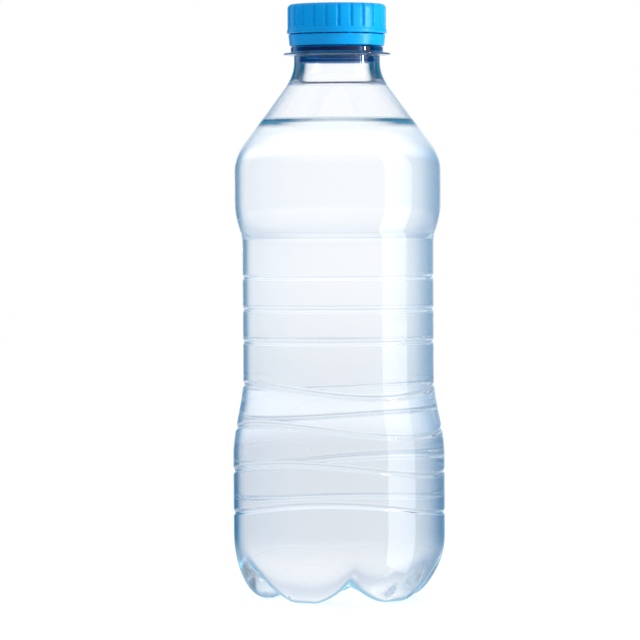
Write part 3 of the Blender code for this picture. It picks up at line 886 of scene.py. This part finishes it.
def studio():
    """The studio's light by direction. Light that has been through the bottle comes
    from a bright wall that turns blue at its sides and is shaded by slope, with pale
    light far above and below. All other light comes from a darker room with a strip
    and a soft ceiling. What the camera sees past the bottle is plain white."""
    world = bpy.data.worlds.new("studio")
    bpy.context.scene.world = world
    tree = Tree(world)
    way = tree.add("ShaderNodeTexCoord", None, None, "Generated")
    x, y, z = tree.split(way)
    azimuth = x.maths("ARCTAN2", x, y) / TURN + 0.5
    sides = tree.ramp(azimuth, WALL_STOPS, 360)
    slope = tree.ramp(z * 0.5 + 0.5, SLOPE_STOPS, 2)
    wall = tree.mix(1.0, sides, slope, "MULTIPLY")
    wall = tree.mix(z.span(0.45, 0.8), wall, WALL_ABOVE)
    wall = tree.mix(z.span(-0.2, -0.42), wall, WALL_BELOW)
    room = tree.mix(z.span(0.2, 0.7), tree.ramp(azimuth, ROOM_STOPS, 360), CEILING)
    room = tree.mix(z.span(-0.06, -0.2), room, ROOM_BELOW)
    refracted = tree.add("ShaderNodeLightPath", None, None, "Transmission Depth").span(0, 1)
    light = tree.mix(refracted, room, wall)
    glint = z.span(-0.1, -0.2, 0.0, GLINT_STRENGTH) * z.span(-0.32, -0.22) * refracted
    values = {"Color": light, "Strength": glint + STUDIO_STRENGTH}
    behind = tree.add("ShaderNodeBackground", None, values)
    white = tree.add("ShaderNodeBackground", None, {"Color": WHITE, "Strength": 1.0})
    seen = tree.add("ShaderNodeLightPath", None, None, "Is Camera Ray")
    either = tree.add("ShaderNodeMixShader", None, {0: seen, 1: behind, 2: white})
    tree.finish(either, "ShaderNodeOutputWorld")


def floor():
    """The plain white floor, a little glossy, that fades into the white behind. The
    bottle neither mirrors it nor shows it through its wall."""
    mesh = bpy.data.meshes.new("floor")
    signs = [(-1, -1), (1, -1), (1, 1), (-1, 1)]
    corners = [(x * FLOOR_REACH, y * FLOOR_REACH, 0) for x, y in signs]
    mesh.from_pydata(corners, [], [(0, 1, 2, 3)])
    made, tree = new_material("white_floor")
    matt = tree.add("ShaderNodeBsdfDiffuse", None, {"Color": FLOOR_WHITE})
    shine = tree.add("ShaderNodeBsdfGlossy", None, {"Color": WHITE, "Roughness": 0.1})
    body = tree.add("ShaderNodeMixShader", None, {0: 0.2, 1: matt, 2: shine})
    seen = tree.add("ShaderNodeLightPath", None, None, "Is Camera Ray")
    values = {"Color": WHITE, "Strength": seen.span(0, 1, 0.10, 0.45)}
    glow = tree.add("ShaderNodeEmission", None, values)
    tree.finish(tree.add("ShaderNodeAddShader", None, {0: body, 1: glow}))
    mesh.materials.append(made)
    added = bpy.data.objects.new("floor", mesh)
    bpy.context.scene.collection.objects.link(added)
    added.location = (0, 0, -FLOOR_DROP)
    added.visible_transmission = False
    added.visible_glossy = False


def camera():
    """The photograph's view: a long lens at two thirds of the bottle's height, that
    looks down by atan(104 / 4500), a little over a degree, and leans slightly."""
    lens = bpy.data.cameras.new("camera")
    lens.sensor_width = SENSOR_WIDTH
    lens.lens = SENSOR_WIDTH * CAMERA_AWAY / IMAGE_WIDTH
    holder = bpy.data.objects.new("camera", lens)
    bpy.context.scene.collection.objects.link(holder)
    pitch = atan(AIM_DOWN / CAMERA_AWAY)
    turn = Matrix.Rotation(radians(90) - pitch, 3, "X") @ Matrix.Rotation(CAMERA_LEAN, 3, "Z")
    holder.rotation_euler = turn.to_euler()
    holder.location = (-CAMERA_LEFT * PIXEL, -CAMERA_AWAY * PIXEL, CAMERA_UP * PIXEL)
    bpy.context.scene.camera = holder


def lights():
    """The studio's softbox to the right, in two halves of which the lower is the
    stronger, and a narrow strip that shines in the closure."""
    box = {"azimuth": SOFTBOX_AZIMUTH, "distance": SOFTBOX_DISTANCE, "width": SOFTBOX_WIDTH}
    card("softbox_right", **box, low=SOFTBOX_SPLIT, high=0.68, radiance=0.95)
    card("softbox_low", **box, low=-0.35, high=SOFTBOX_SPLIT, radiance=1.4)
    card("closure_light", azimuth=SOFTBOX_AZIMUTH, distance=0.15, width=0.0105,
         low=0.15, high=0.215, radiance=50.0)


def main():
    """Sets up the view, the pieces and the studio."""
    camera()
    plastic = clear_plastic()
    blue = blue_plastic()
    shell = grid_mesh("bottle_shell", bottle_grid(), CENTRE_RISE, CENTRE_RISE + WALL)
    piece(shell, plastic, "bottle", "clear_pet", "bottle")
    filling = grid_mesh("water_fill", water_grid(), CENTRE_RISE + WATER_INSET, WATER_LEVEL)
    piece(filling, still_water(), "bottle", "water", "water")
    gate_bottom = CAP_BOTTOM + CAP_HEIGHT - DISH_DEPTH - GATE_DEPTH
    cap = grid_mesh("screw_cap", cap_grid(), CAP_BOTTOM + CAP_CEILING, gate_bottom)
    piece(cap, blue, "cap", "blue_cap", "cap")
    band = grid_mesh("tamper_ring", band_grid(), looped=True)
    piece(band, blue, "bottle", "blue_cap", "tamper_band")
    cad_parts["cap_liner"].material_slots[0].material = white_plastic()
    studio()
    floor()
    lights()
    bpy.context.scene.view_settings.view_transform = "Standard"
    bpy.context.scene.view_settings.look = "None"
    paths = bpy.context.scene.cycles
    paths.max_bounces = BOUNCES
    paths.transmission_bounces = BOUNCES
    paths.glossy_bounces = BOUNCES


main()
